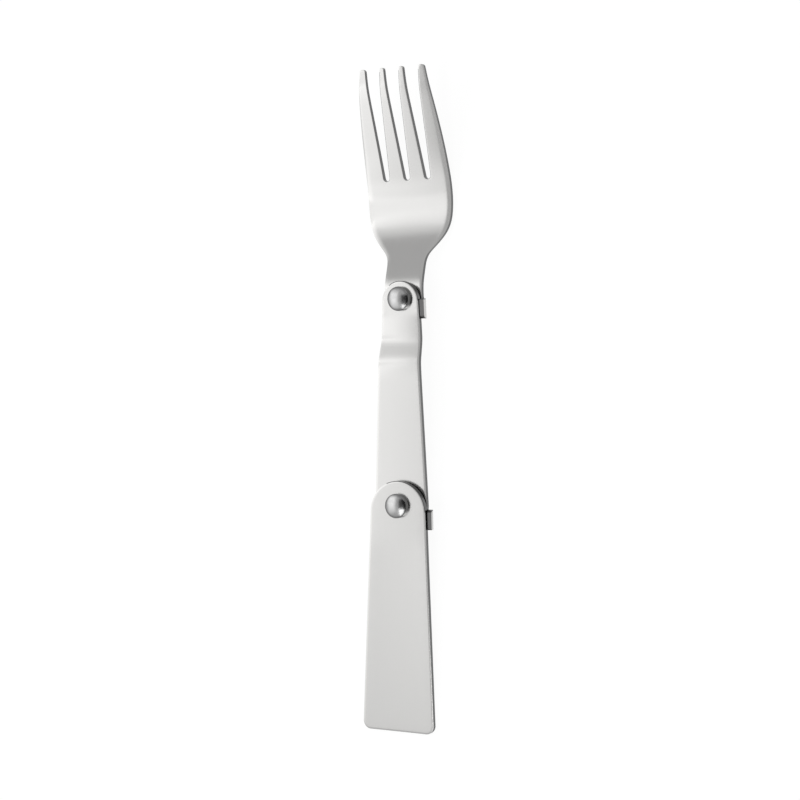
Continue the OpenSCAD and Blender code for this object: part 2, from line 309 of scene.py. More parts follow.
def filled(loops: list[np.ndarray], extra: np.ndarray) -> list[tuple[int, int, int]]:
    """Fills the space inside the first loop and outside the others with triangles.

    Being inside spreads from the sides of the loops, as the thinnest triangles have no clear middle.

    Args:
        loops: the outer loop, then the holes, all counter-clockwise.
        extra: points wanted inside.
    Returns:
        The triangles, by the numbers of their points in loops and extra.
    """
    edges, is_inner, start = [], {}, 0
    for loop in loops:
        count = len(loop)
        ring = [(start + i, start + (i + 1) % count) for i in range(count)]
        for a, b in ring:
            is_inner[a, b] = start == 0
            is_inner[b, a] = start > 0
        edges += ring
        start += count
    points = [Vector(p) for p in np.concatenate([*loops, extra])]
    _, _, faces, origins, _, _ = delaunay_2d_cdt(points, edges, [], 0, TINY)
    triangles = [tuple(origins[i][0] for i in face) for face in faces]
    owner = {edge: n for n, (a, b, c) in enumerate(triangles) for edge in ((a, b), (b, c), (c, a))}
    kept = {owner[edge]: inner for edge, inner in is_inner.items() if edge in owner}
    waiting = list(kept)
    while waiting:
        at = waiting.pop()
        a, b, c = triangles[at]
        for edge in ((b, a), (c, b), (a, c)):
            beside = owner.get(edge)
            if beside is not None and beside not in kept and edge not in is_inner:
                kept[beside] = kept[at]
                waiting.append(beside)
    return [triangle for n, triangle in enumerate(triangles) if kept[n]]


# ---------------- bent sheet


@dataclass(frozen=True)
class Bend:
    """One step of a bent strip: a straight length, then a bend. A positive angle turns the strip up."""

    straight: float
    angle: float = 0.0
    radius: float = 1.0


@dataclass
class Profile:
    """The side view of a leaf: the heights of its front and back at each place along it."""

    along: np.ndarray
    front: np.ndarray
    back: np.ndarray

    @classmethod
    def bent(
        cls, start: Pair, bends: list[Bend], ease: float, end_t: float = SHEET_T, thin: Pair = NOWHERE
    ) -> "Profile":
        """Bends a strip and eases its bends into each other.

        Args:
            start: the front face's first point, along and height.
            bends: the steps of the strip.
            ease: how far each bend runs into the straights beside it.
            end_t: the thickness at the end of the strip.
            thin: where the strip starts to thin, and where it reaches end_t.
        Returns:
            The profile.
        """
        y, z, heading = *start, 0.0
        line = [(y, z)]
        for bend in bends:
            y += bend.straight * math.cos(heading)
            z += bend.straight * math.sin(heading)
            line.append((y, z))
            count = math.ceil(abs(bend.angle))
            for _ in range(count):
                turn = math.radians(bend.angle / count)
                side = math.copysign(bend.radius, turn)
                y += side * (math.sin(heading + turn) - math.sin(heading))
                z -= side * (math.cos(heading + turn) - math.cos(heading))
                heading += turn
                line.append((y, z))
        ys, zs = np.array(line).T
        spacing, reach = 0.1, 30
        along = np.arange(ys[0], ys[-1], spacing)
        front = np.interp(along, ys, zs)
        weights = np.exp(-((np.arange(-reach, reach + 1) * spacing / ease) ** 2) / 2)
        run_out = front[-1] + np.arange(1, reach + 1) * (front[-1] - front[-2])
        padded = np.concatenate([np.full(reach, front[0]), front, run_out])
        front = np.convolve(padded, weights / weights.sum(), mode="valid")
        slope = np.arctan(np.gradient(front, along))
        thickness = SHEET_T - (SHEET_T - end_t) * ((along - thin[0]) / (thin[1] - thin[0])).clip(0, 1)
        back = np.interp(along, along + thickness * np.sin(slope), front - thickness * np.cos(slope))
        return cls(along, front, back)

    @classmethod
    def flat(cls, height: float) -> "Profile":
        """A strip with no bend, whose front face is at that height."""
        return cls(np.array([-FAR, FAR]), np.full(2, height), np.full(2, height - SHEET_T))

    def heights(self, along: np.ndarray, share: np.ndarray) -> np.ndarray:
        """Heights inside the strip, where share is 0 on its front face and 1 on its back."""
        front, back = (np.interp(along, self.along, face) for face in (self.front, self.back))
        return front * (1 - share) + back * share

    def thickness(self, along: np.ndarray) -> np.ndarray:
        """The strip's height from back to front at each place."""
        return np.interp(along, self.along, self.front - self.back)


@dataclass(frozen=True)
class Dish:
    """A shallow hollow across a leaf, whose sides stand above its middle, or below it for a negative depth.

    It grows between two places along the leaf, and may fade again between two others.
    """

    depth: float
    half_width: float
    grows: Pair
    fades: Pair = NOWHERE

    @staticmethod
    def eased(y: np.ndarray, ends: Pair) -> np.ndarray:
        """0 at the first end, 1 at the second, smooth between."""
        share = ((y - ends[0]) / (ends[1] - ends[0])).clip(0, 1)
        return share * share * (3 - 2 * share)

    def rise(self, x: np.ndarray, y: np.ndarray) -> np.ndarray:
        """How far each point is raised."""
        grown = self.depth * (x / self.half_width) ** 2 * self.eased(y, self.grows)
        return grown * (1 - self.eased(y, self.fades))


@dataclass(frozen=True)
class Tab:
    """A stop tab bent up from the right edge of a leaf, with its free corners rounded."""

    inner_x: float
    back: float
    top: float
    front_corner: float
    rear_corner: float
    bend_r: float = 0.3

    @classmethod
    def beside(cls, half_width: float, lean: float, back: float, rise: float, corners: Pair) -> "Tab":
        """Makes the tab that stands beside the edge of another leaf.

        Args:
            half_width: half the other leaf's width, at the tab's rear end.
            lean: the tab's lean from the other leaf, in radians.
            back: how far behind the pivot the tab starts.
            rise: how far it stands above the other leaf's front face.
            corners: the radii of its front and its rear corner.
        Returns:
            The tab.
        """
        inner = (half_width + TAB_GAP) * math.cos(lean) - (back + TAB_L) * math.sin(lean)
        return cls(inner, back, SHEET_T + LEAF_GAP + rise, *corners)

    @property
    def ends(self) -> Pair:
        """Where the tab's rear and front edges are along the leaf."""
        return -self.back - TAB_L, -self.back

    @property
    def bend_x(self) -> float:
        """Where the bend starts."""
        return self.inner_x - self.bend_r

    @property
    def bend_length(self) -> float:
        """The length of the bend along the middle of the sheet."""
        return (self.bend_r + SHEET_T / 2) * math.pi / 2

    @property
    def end_x(self) -> float:
        """The free edge of the tab in the flat pattern."""
        return self.bend_x + self.bend_length + self.top - SHEET_T - self.bend_r

    def outline(self, root_low: float, root_high: float) -> np.ndarray:
        """Draws the tab's outline in the flat pattern, from its rear root round to its front root.

        Args:
            root_low: where its rear edge leaves the leaf.
            root_high: where its front edge leaves the leaf.
        Returns:
            The points, one row each.
        """
        (low, high), end = self.ends, self.end_x
        r, f = self.rear_corner, self.front_corner
        rear, front = arc((end - r, low + r), r, -90, 0, 9), arc((end - f, high - f), f, 0, 90, 9)
        return np.concatenate([[[root_low, low]], rear, front, [[root_high, high]]])

    def holds(self, points: np.ndarray) -> np.ndarray:
        """Which points of the flat pattern are past the start of the bend."""
        (low, high), y = self.ends, points[:, 1]
        return (points[:, 0] > self.bend_x) & (y < high + TINY) & (y > low - TINY)

    def bent(self, x: np.ndarray, depth: np.ndarray) -> tuple[np.ndarray, np.ndarray]:
        """Bends points of the tab up.

        Args:
            x: the places across the flat pattern.
            depth: the depths below the front face.
        Returns:
            The places across the leaf, and the heights above its front face.
        """
        run = x - self.bend_x
        radius = self.bend_r + depth
        angle = (run / self.bend_length).clip(0, 1) * math.pi / 2
        rise = (run - self.bend_length).clip(0)
        return self.bend_x + radius * np.sin(angle), self.bend_r - radius * np.cos(angle) + rise


# ---------------- pieces


def placed(name: str, data: bpy.types.ID) -> bpy.types.Object:
    """Puts a mesh, a lamp or a camera into the scene.

    Args:
        name: the object's name.
        data: the mesh, the lamp or the camera.
    Returns:
        The new object.
    """
    made = bpy.data.objects.new(name, data)
    bpy.context.scene.collection.objects.link(made)
    return made


@dataclass
class Piece:
    """A piece of the fork that takes the place of a node of the frame."""

    name: str
    node: str
    body: Body
    slot: Slot
    place: LeafPlace

    def make(
        self, points: np.ndarray, faces: list[tuple[int, ...]], worn_and_rim_shade: np.ndarray, sharp: float
    ) -> bpy.types.Object:
        """Makes the piece's object.

        Args:
            points: its points, in millimetres.
            faces: its faces, by the numbers of their points.
            worn_and_rim_shade: how worn each point of a leaf is, and how much painted shade darkens a rivet's
                rim, from 0 to 1.
            sharp: the angle, in degrees, from which an edge shows.
        Returns:
            The new object, in the row frame.
        """
        mesh = bpy.data.meshes.new(self.name)
        mesh.from_pydata([tuple(p) for p in self.place.to_row(points)], [], faces)
        attribute = mesh.attributes.new("edge_worn_and_rim_shade", "FLOAT", "POINT")
        attribute.data.foreach_set("value", worn_and_rim_shade.astype(np.float32))
        mesh.validate()
        mesh.shade_smooth()
        mesh.set_sharp_from_angle(angle=math.radians(sharp))
        made = placed(self.name, mesh)
        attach(made, self.body.value)
        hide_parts(self.node)
        LOG.info("%s: %d points, %d faces", self.name, len(mesh.vertices), len(mesh.polygons))
        return made


@dataclass
class Skin:
    """The skin of a leaf as it grows. Its rows hold each point's flat place, its depth and how worn it is."""

    rows: list[np.ndarray] = field(default_factory=list)
    faces: list[tuple[int, ...]] = field(default_factory=list)
    finishes: list[int] = field(default_factory=list)

    def add(self, points: np.ndarray, share: np.ndarray, worn: float) -> list[int]:
        """Adds points.

        Args:
            points: their places in the flat pattern.
            share: their depths, from 0 on the front face to 1 on the back.
            worn: how worn they are.
        Returns:
            Their numbers.
        """
        start = sum(len(rows) for rows in self.rows)
        self.rows.append(np.column_stack([points, share, np.full(len(points), worn)]))
        return list(range(start, start + len(points)))

    def face(self, corners: tuple[int, ...], finish: Finish) -> None:
        """Adds a face."""
        self.faces.append(corners)
        self.finishes.append(finish.value)

    def band(self, lower: list[int], upper: list[int], finishes: list[Finish]) -> None:
        """Joins two loops of points with quads.

        Args:
            lower: the loop that the quads turn their backs to.
            upper: the other loop.
            finishes: the finish of each quad.
        """
        for i, finish in enumerate(finishes):
            j = (i + 1) % len(finishes)
            self.face((lower[i], lower[j], upper[j], upper[i]), finish)


@dataclass
class SheetPart(Piece):
    """A leaf of sheet steel, built flat with soft edges and then bent.

    Its points inside lie on a staggered grid, which keeps a margin from every edge. Near the tab the grid
    makes room for a finer one, for the bend.
    """

    pattern: Pattern
    profile: Profile
    grid: float
    holes: list[Triple]
    dishes: list[Dish]
    tab: Tab | None = None
    margin: float = 0.14
    edge_slope: float = 0.2
    back_edge: float = 0.2
    edge_steps: int = 6
    corner_steps: int = 2
    row_share: float = 0.87
    tab_grid: Pair = (0.16, 0.4)
    tab_start: float = 0.2
    tab_room: Pair = (0.3, 8.0)
    sharp: float = 50.0

    def inner_points(self, loops: list[np.ndarray]) -> np.ndarray:
        """Lays out the points inside.

        Args:
            loops: the outer loop, then the holes.
        Returns:
            The points, one row each.
        """
        low, high = loops[0].min(axis=0), loops[0].max(axis=0)
        rows = np.arange(low[1], high[1], self.grid * self.row_share)
        columns = np.arange(low[0], high[0], self.grid)
        points = [(x + (self.grid / 2 if i % 2 else 0), y) for i, y in enumerate(rows) for x in columns]
        if self.tab is not None:
            beside, behind = self.tab.bend_x - self.tab_room[0], -self.tab_room[1]
            points = [p for p in points if p[0] < beside or p[1] > 0 or p[1] < behind]
            across = np.arange(self.tab.bend_x - self.tab_start, self.tab.end_x, self.tab_grid[0])
            points += [(x, y) for x in across for y in np.arange(*self.tab.ends, self.tab_grid[1])]
        found = np.array(points)
        found = found[inside(found, loops[0])]
        for hole in loops[1:]:
            found = found[~inside(found, hole)]
        return clear_of(found, np.concatenate(loops), self.margin)

    def shaped(self, flat: np.ndarray, share: np.ndarray) -> np.ndarray:
        """Bends points of the flat pattern.

        Args:
            flat: the places in the flat pattern.
            share: 0 on the front face and 1 on the back.
        Returns:
            The points of the leaf, in millimetres.
        """
        x, y = flat[:, 0].copy(), flat[:, 1]
        z = self.profile.heights(y, share)
        for dish in self.dishes:
            z = z + dish.rise(x, y)
        if self.tab is not None:
            on_tab = self.tab.holds(flat)
            across, rise = self.tab.bent(x[on_tab], share[on_tab] * SHEET_T)
            x[on_tab] = across
            z[on_tab] = self.profile.heights(y[on_tab], np.zeros(on_tab.sum())) + rise
        return np.stack([x, y, z], axis=-1)

    def cover(self, skin: Skin, from_back: bool) -> tuple[list[list[int]], list[list[int]]]:
        """Adds the front or the back of the leaf to its skin, with that side's soft edge.

        Args:
            skin: the skin.
            from_back: whether it is the back.
        Returns:
            The loops of the soft edge, from the outermost in, and the loops of the holes.
        """

        def add(points: np.ndarray, depth: Values = 0.0, worn: float = 0.0) -> list[int]:
            """Adds points at a depth below this side of the leaf."""
            share = depth / self.profile.thickness(points[:, 1])
            return skin.add(points, 1 - share if from_back else share, worn)

        widest = self.back_edge if from_back else FAR
        drop = np.minimum(self.pattern.soft, widest) * self.edge_slope / 2
        edge = []
        for k in range(self.edge_steps + 1):
            share = k / self.edge_steps
            loop = self.pattern.inset(share, widest)
            edge.append(add(loop, drop * (1 - share) ** 2, 1 - share))
        circles = [arc((x, y), r, 0, 360, HOLE_SIDES + 1)[:-1] for x, y, r in self.holes]
        extra = self.inner_points([loop, *circles])
        holes = [add(circle) for circle in circles]
        numbers = sum([edge[-1], *holes, add(extra)], [])
        for corners in filled([loop, *circles], extra):
            skin.face(tuple(numbers[i] for i in (corners[::-1] if from_back else corners)), Finish.FACE)
        return edge, holes

    def build(self) -> bpy.types.Object:
        """Builds the leaf.

        Returns:
            The new object.
        """
        skin = Skin()
        front, front_holes = self.cover(skin, from_back=False)
        back, back_holes = self.cover(skin, from_back=True)
        front_corner, wall, back_corner = zip(*(cut.value for cut in self.pattern.cut))
        skin.band(back[0], front[0], wall)
        for k in range(self.edge_steps):
            plain = [Finish.FACE] * len(front_corner)
            # The outer rings of the front edge take the front corner's finish, which paints a dark line of
            # shade on some edges.
            skin.band(front[k], front[k + 1], front_corner if k < self.corner_steps else plain)
            skin.band(back[k + 1], back[k], back_corner)
        # Hole walls take the darkest finish, painted as shade inside the holes.
        for holes in zip(front_holes, back_holes):
            skin.band(*holes, [Finish.DARK] * HOLE_SIDES)
        rows = np.concatenate(skin.rows)
        made = self.make(self.shaped(rows[:, :2], rows[:, 2]), skin.faces, rows[:, 3], self.sharp)
        made.data.polygons.foreach_set("material_index", np.array(skin.finishes, np.int32))
        return made


# ---------------- leaves


@dataclass
class Handle:
    """The rear leaf: flat, tapered, with a round front end and a straight butt with rounded corners.

    Along its round end, from the right as far as an angle in degrees, its front corner is painted dark, as
    the shade of the gap between the leaves.
    """

    space: LeafSpace
    length: float = 54.7
    front_w: float = 15.0
    butt_w: float = 19.6
    round_back: float = 1.6
    corner_r: float = 2.0
    soft: float = 0.55
    shaded_to: float = 112.0
    spacing: float = 1.2

    def half_width(self, back: float) -> float:
        """Half the handle's width at a distance behind its pivot."""
        return self.front_w / 2 + back * (self.butt_w - self.front_w) / 2 / self.length

    def pattern(self) -> Pattern:
        """Draws the flat pattern.

        Returns:
            The pattern.
        """
        taper = math.atan((self.butt_w - self.front_w) / 2 / self.length)
        lean = math.degrees(taper)
        front = (0, -self.round_back)
        front_r = (self.front_w / 2 + self.round_back * math.tan(taper)) * math.cos(taper)
        corner_y = self.corner_r - self.length
        corner_x = self.half_width(-corner_y) - self.corner_r / math.cos(taper)
        return Pattern.joined(
            (arc((corner_x, corner_y), self.corner_r, -90, lean, 17), self.soft, Cut.SMOOTH),
            (arc(front, front_r, lean, self.shaded_to, 51), self.soft, Cut.SHADED_END),
            (arc(front, front_r, self.shaded_to, 180 - lean, 31)[1:], self.soft, Cut.SMOOTH),
            (arc((-corner_x, corner_y), self.corner_r, 180 - lean, 270, 17), self.soft, Cut.SMOOTH),
        ).spaced(self.spacing)

    def build(self) -> bpy.types.Object:
        """Builds the handle.

        Returns:
            The new object.
        """
        return SheetPart(
            "handle_leaf",
            "handle",
            Body.HANDLE,
            Slot.LEAF,
            LeafPlace(self.space),
            self.pattern(),
            Profile.flat(0.0),
            grid=2.0,
            holes=[(0.0, 0.0, SHANK_R)],
            dishes=[Dish(0.12, self.butt_w / 2, (-4.5, -13.0))],
            margin=0.9,
        ).build()


@dataclass
class MiddleArm:
    """The middle leaf: tapered, with two round ends, a pressed step and a stop tab at its rear end.

    Along its front end, from the right as far as an angle in degrees, its front corner is painted dark, as
    the shade of the gap between the leaves.
    """

    space: LeafSpace
    handle: Handle
    span: float
    lean: float
    front_w: float = 9.9
    rear_w: float = 14.2
    round_back: float = 0.7
    step_back: float = 12.4
    step_angle: float = 15.0
    step_r: float = 7.0
    tab_back: float = 0.9
    tab_rise: float = 0.5
    tab_corners: Pair = (0.9, 0.3)
    soft: float = 0.55
    shaded_to: float = 125.0
    spacing: float = 0.35

    def half_width(self, back: float) -> float:
        """Half the arm's width at a distance behind its front pivot."""
        return self.front_w / 2 + (self.rear_w - self.front_w) / 2 * back / self.span

    def tab(self) -> Tab:
        """The stop tab, beside the handle's right edge."""
        beside = self.handle.half_width(self.tab_back + TAB_L)
        return Tab.beside(beside, self.lean, self.tab_back, self.tab_rise, self.tab_corners)

    def pattern(self) -> Pattern:
        """Draws the flat pattern, with the tab laid flat.

        Returns:
            The pattern.
        """
        rear_r, front_r = self.rear_w / 2, self.half_width(self.round_back)
        front = (0, self.span - self.round_back)
        lean = math.degrees(math.asin((rear_r - front_r) / front[1]))
        tab = self.tab()
        low, high = (math.degrees(math.asin(y / rear_r)) for y in tab.ends)
        roots = (rear_r * math.cos(math.radians(angle)) for angle in (low, high))
        return Pattern.joined(
            (arc((0, 0), rear_r, lean + 180, 360 + low, 61), self.soft, Cut.SMOOTH),
            (tab.outline(*roots), TAB_SOFT, Cut.TAB_SHADED),
            (arc((0, 0), rear_r, high, lean, 9)[1:], self.soft, Cut.SMOOTH),
            (arc(front, front_r, lean, self.shaded_to, 43), self.soft, Cut.SHADED_END),
            (arc(front, front_r, self.shaded_to, 180 - lean, 19)[1:], self.soft, Cut.SMOOTH),
        ).spaced(self.spacing).softened(3)

    def profile(self) -> Profile:
        """Draws the side view: flat, down the step, flat.

        Returns:
            The profile.
        """
        angle = math.radians(self.step_angle)
        rise = STEP_DROP - 2 * self.step_r * (1 - math.cos(angle))
        slope = rise / math.sin(angle)
        step = slope * math.cos(angle) + 2 * self.step_r * math.sin(angle)
        start = -self.rear_w
        bends = [
            Bend(self.span - self.step_back - step / 2 - start, -self.step_angle, self.step_r),
            Bend(slope, self.step_angle, self.step_r),
            Bend(40.0),
        ]
        return Profile.bent((start, -SHEET_T - LEAF_GAP), bends, ease=0.5)

    def build(self) -> bpy.types.Object:
        """Builds the arm.

        Returns:
            The new object.
        """
        grows, fades = (self.span - 20, self.span - 13), (self.span - 5, self.span - 3.2)
        return SheetPart(
            "arm_leaf",
            "middle_arm",
            Body.ARM,
            Slot.LEAF,
            LeafPlace(self.space, lean=self.lean),
            self.pattern(),
            self.profile(),
            grid=0.9,
            holes=[(0.0, 0.0, SHANK_R + TURN_GAP), (0.0, self.span, SHANK_R)],
            dishes=[Dish(-0.09, self.front_w / 2, grows, fades)],
            tab=self.tab(),
        ).build()


@dataclass
class ForkHead:
    """The front leaf: neck, dished bowl and four tines, with a stop tab beside the front pivot."""

    space: LeafSpace
    arm: MiddleArm
    pivot: Pair
    top_z: float
    lean: float
    length: float = 55.58
    neck_w: float = 10.2
    round_back: float = 0.9
    neck_l: float = 7.6
    shoulder: Pair = (18.3, 14.5)
    shoulder_angle: float = 38.0
    bowl: Pair = (22.98, 25.3)
    tips_w: float = 17.6
    tips_angle: float = 10.0
    slots: tuple[int, ...] = (-1, 0, 1)
    root_y: float = 28.6
    root_w: float = 1.7
    tip_gap: float = 4.1
    root_pitch: float = 5.7
    tip_pitch: float = 5.3
    end_t: float = 0.8
    tab_back: float = 0.2
    tab_rise: float = 0.8
    tab_corners: Pair = (0.3, 0.9)
    seat_l: float = 2.1
    neck_soft: float = 0.7
    neck_soft_l: float = 8.0
    outer_soft: float = 1.3
    tip_soft: float = 0.35
    tip_soft_l: float = 22.0
    slot_soft: float = 0.3
    round_soft: float = 0.5
    spacing: float = 0.5
    join_gap: float = 0.05
    slot_gap: float = 0.4
    slot_over: float = 1.0

    def tab(self) -> Tab:
        """The stop tab, beside the arm's right edge."""
        beside = self.arm.half_width(self.tab_back + TAB_L)
        return Tab.beside(beside, self.lean - self.arm.lean, self.tab_back, self.tab_rise, self.tab_corners)

    @cached_property
    def side(self) -> np.ndarray:
        """Draws the right side of the head, from the neck to the tip of the outer tine.

        Returns:
            The points, one row each.
        """
        neck, tip = np.array([self.neck_w / 2, self.neck_l]), np.array([self.tips_w / 2, self.length])
        shoulder = np.array([self.shoulder[0] / 2, self.shoulder[1]])
        widest = np.array([self.bowl[0] / 2, self.bowl[1]])
        angle, end = math.radians(self.shoulder_angle), math.radians(self.tips_angle)
        up = np.array([0.0, 1.0])
        slope = np.array([math.sin(angle), math.cos(angle)])
        tip_slope = np.array([-math.sin(end), math.cos(end)])
        neck_pull, crown_pull = (shoulder[1] - neck[1]) / 2, (widest[1] - shoulder[1]) / 2.6
        tine_pull = tip[1] - widest[1]
        curves = [
            ([neck, neck + up * neck_pull, shoulder - slope * neck_pull * 1.3, shoulder], 24),
            ([shoulder, shoulder + slope * crown_pull * 0.9, widest - up * crown_pull, widest], 24),
            ([widest, widest + up * tine_pull / 5, tip - tip_slope * tine_pull / 2.6, tip], 60),
        ]
        return np.concatenate([[neck], *(bezier(handles, count) for handles, count in curves)])

    def slot_middle(self, slot: int, y: Values) -> Values:
        """Where the middle of a slot is at a place along the head."""
        share = (y - self.root_y) / (self.length - self.root_y)
        return slot * (self.root_pitch + (self.tip_pitch - self.root_pitch) * share)

    def slot_edge(self, slot: int, side: int, y: Values) -> Values:
        """Finds one side of a slot at a place along the head.

        Args:
            slot: the slot, counted from the middle one to the right.
            side: -1 for its left side, 1 for its right.
            y: the place or places.
        Returns:
            The side's distance from the head's middle line.
        """
        root, end = self.root_y + self.root_w / 2, self.length + self.slot_over
        end_w = self.root_w + (self.tip_gap - self.root_w) * (end - self.root_y) / (self.length - self.root_y)
        width = self.root_w + (end_w - self.root_w) * (y - root) / (end - root)
        return self.slot_middle(slot, y) + side * width / 2

    def slot_outline(self, slot: int, start: float) -> np.ndarray:
        """Draws a slot, down its right side, round its root and up its left side.

        Args:
            slot: the slot, counted from the middle one to the right.
            start: where it starts along the head.
        Returns:
            The points, one row each.
        """
        root = self.root_y + self.root_w / 2
        down = np.linspace(start - self.slot_gap, root, 60)
        right, left = (np.stack([self.slot_edge(slot, side, down), down], axis=-1) for side in (1, -1))
        around = arc((self.slot_middle(slot, root), root), self.root_w / 2, 0, -180, 25)
        return np.concatenate([right, around[1:-1], left[::-1]])

    def tine_edges(self, tine: int, y: float) -> Pair:
        """Finds the left and the right edge of a tine at a place along the head.

        Args:
            tine: the tine, counted from 0 on the left.
            y: the place.
        Returns:
            The edges' distances from the head's middle line.
        """
        outer = float(np.interp(y, self.side[:, 1], self.side[:, 0]))
        left = self.slot_edge(self.slots[tine - 1], 1, y) if tine > 0 else -outer
        right = self.slot_edge(self.slots[tine], -1, y) if tine < len(self.slots) else outer
        return left, right

    def pattern(self) -> Pattern:
        """Draws the flat pattern, with the tab laid flat.

        Returns:
            The pattern.
        """
        tab, neck_r = self.tab(), self.neck_w / 2
        low = math.degrees(math.asin((tab.ends[0] + self.round_back) / neck_r))
        runs: list[tuple[np.ndarray, float, Cut]] = [
            (arc((0, -self.round_back), neck_r, 180, 360 + low, 41), self.neck_soft, Cut.SMOOTH),
            (tab.outline(neck_r * math.cos(math.radians(low)), neck_r), TAB_SOFT, Cut.TAB_SHADED),
        ]
        right = self.side
        left = right[::-1] * [-1, 1]
        for tine in range(len(self.slots), -1, -1):
            full_left, full_right = self.tine_edges(tine, self.length)
            r = (full_right - full_left) / 2
            start = self.length - r
            if tine == len(self.slots):
                runs.append((right[right[:, 1] < start - self.join_gap], self.outer_soft, Cut.SMOOTH))
            x = self.tine_edges(tine, start)
            angles = np.radians(np.linspace(0, 180, 19))
            tip = [(x[0] + x[1]) / 2 + (x[1] - x[0]) / 2 * np.cos(angles), start + r * np.sin(angles)]
            runs.append((np.stack(tip, axis=-1), self.round_soft * r, Cut.SMOOTH))
            if tine > 0:
                runs.append((self.slot_outline(self.slots[tine - 1], start), self.slot_soft, Cut.DEEP_SHADED))
            else:
                runs.append((left[left[:, 1] < start - self.join_gap], self.outer_soft, Cut.SMOOTH))
        pattern = Pattern.joined(*runs).spaced(self.spacing)
        y, outer = pattern.points[:, 1], pattern.soft == self.outer_soft
        near_tip = ((self.length - y) / self.tip_soft_l).clip(0, 1)
        pattern.soft[outer] = self.tip_soft + (self.outer_soft - self.tip_soft) * near_tip[outer]
        pattern.soft[outer & (y < self.neck_soft_l)] = self.neck_soft
        return pattern.softened(6)

    def profile(self) -> Profile:
        """Draws the side view: flat seat, dip, bowl and rising tines.

        Returns:
            The profile.
        """
        start = -(self.neck_w / 2 + self.round_back + 1)
        bends = [
            Bend(self.seat_l - start, -19.5, 8.0),
            Bend(8.8, 33.5, 28.0),
            Bend(20.0, -11.6, 25.0),
            Bend(12.0),
        ]
        thin = (self.root_y, self.length)
        return Profile.bent((start, self.top_z), bends, ease=1.0, end_t=self.end_t, thin=thin)

    def build(self) -> bpy.types.Object:
        """Builds the head.

        Returns:
            The new object.
        """
        return SheetPart(
            "head_leaf",
            "fork_head",
            Body.HEAD,
            Slot.LEAF,
            LeafPlace(self.space, self.pivot, self.lean),
            self.pattern(),
            self.profile(),
            grid=0.7,
            holes=[(0.0, 0.0, SHANK_R + TURN_GAP)],
            dishes=[
                Dish(-0.06, self.shoulder[0] / 2, (8.0, 14.0), (17.0, 22.0)),
                Dish(0.1, self.bowl[0] / 2, (17.0, 22.0), (28.0, 36.0)),
                Dish(-0.2, self.tips_w / 2, (18.0, 40.0)),
            ],
            tab=self.tab(),
        ).build()


# ---------------- rivets


@dataclass
class Rivet(Piece):
    """A turned rivet: a domed head with a straight side and a softened rim, a shank and a closed end. Its rim
    and side are painted darker, as shade.
    """

    top_z: float
    head_r: float = 2.95
    wall: float = 1.1
    dome: float = 0.6
    ring_share: float = 0.4
    rim: float = 0.28
    rim_drop: float = 0.8
    rim_lift: float = 0.02
    # The width of the band, in from the rim, over which painted shade darkens the head.
    rim_shade_w: float = 0.75
    foot: float = 0.06
    tail_r: float = 2.3
    tail: float = 0.45
    grip: float = 2 * SHEET_T + LEAF_GAP + 0.05
    turns: int = 96
    sharp: float = 40.0

    @staticmethod
    def cap(radius: float, height: float, reach: float, count: int) -> list[Pair]:
        """A shallow dome's section, from a radius of reach in to the axis."""
        ball = (radius**2 + height**2) / (2 * height)
        return [(r, height - ball + math.sqrt(ball**2 - r * r)) for r in np.linspace(reach, 0, count)]

    def section(self) -> list[Pair]:
        """Draws half the section, from the closed end's middle round to the top of the dome.

        Returns:
            The points, as radius and height.
        """
        tail = [(r, -self.grip - z) for r, z in self.cap(self.tail_r, self.tail, self.tail_r, 12)][::-1]
        shank = [(SHANK_R, -self.grip), (SHANK_R, 0.0)]
        head = [(self.head_r - self.foot, 0.0), (self.head_r, self.foot)]
        head.append((self.head_r, self.wall * self.ring_share))
        dome = [(r, self.wall + z) for r, z in self.cap(self.head_r, self.dome, self.head_r - self.rim, 26)]
        start = np.array([self.head_r, self.wall - self.rim * self.rim_drop])
        corner = np.array([self.head_r, self.wall + self.rim_lift])
        t = np.linspace(0, 1, 9)[:-1, None]
        rim = (1 - t) ** 2 * start + 2 * t * (1 - t) * corner + t * t * np.array(dome[0])
        return tail + shank + head + [(r, z) for r, z in rim] + dome

    def build(self) -> bpy.types.Object:
        """Turns the section about the rivet's axis.

        Returns:
            The new object.
        """
        (_, low_z), *rings, (_, high_z) = self.section()
        angles = np.linspace(0, 2 * math.pi, self.turns, endpoint=False)
        points = [(r * math.cos(a), r * math.sin(a), z + self.top_z) for r, z in rings for a in angles]
        low, high = len(points), len(points) + 1
        last = low - self.turns
        points = np.array([*points, (0, 0, low_z + self.top_z), (0, 0, high_z + self.top_z)])
        faces = []
        for i in range(self.turns):
            j = (i + 1) % self.turns
            faces += [(low, j, i), (high, last + i, last + j)]
            for a in range(0, last, self.turns):
                b = a + self.turns
                faces.append((a + i, a + j, b + j, b + i))
        reach = np.linalg.norm(points[:, :2], axis=1)
        # Painted shade: none inside the band, growing to full at the rim and down the side.
        rim_shade = ((reach - self.head_r + self.rim_shade_w) / (self.rim_shade_w - self.rim)).clip(0, 1)
        return self.make(points, faces, rim_shade, self.sharp)


# ---------------- shader maths


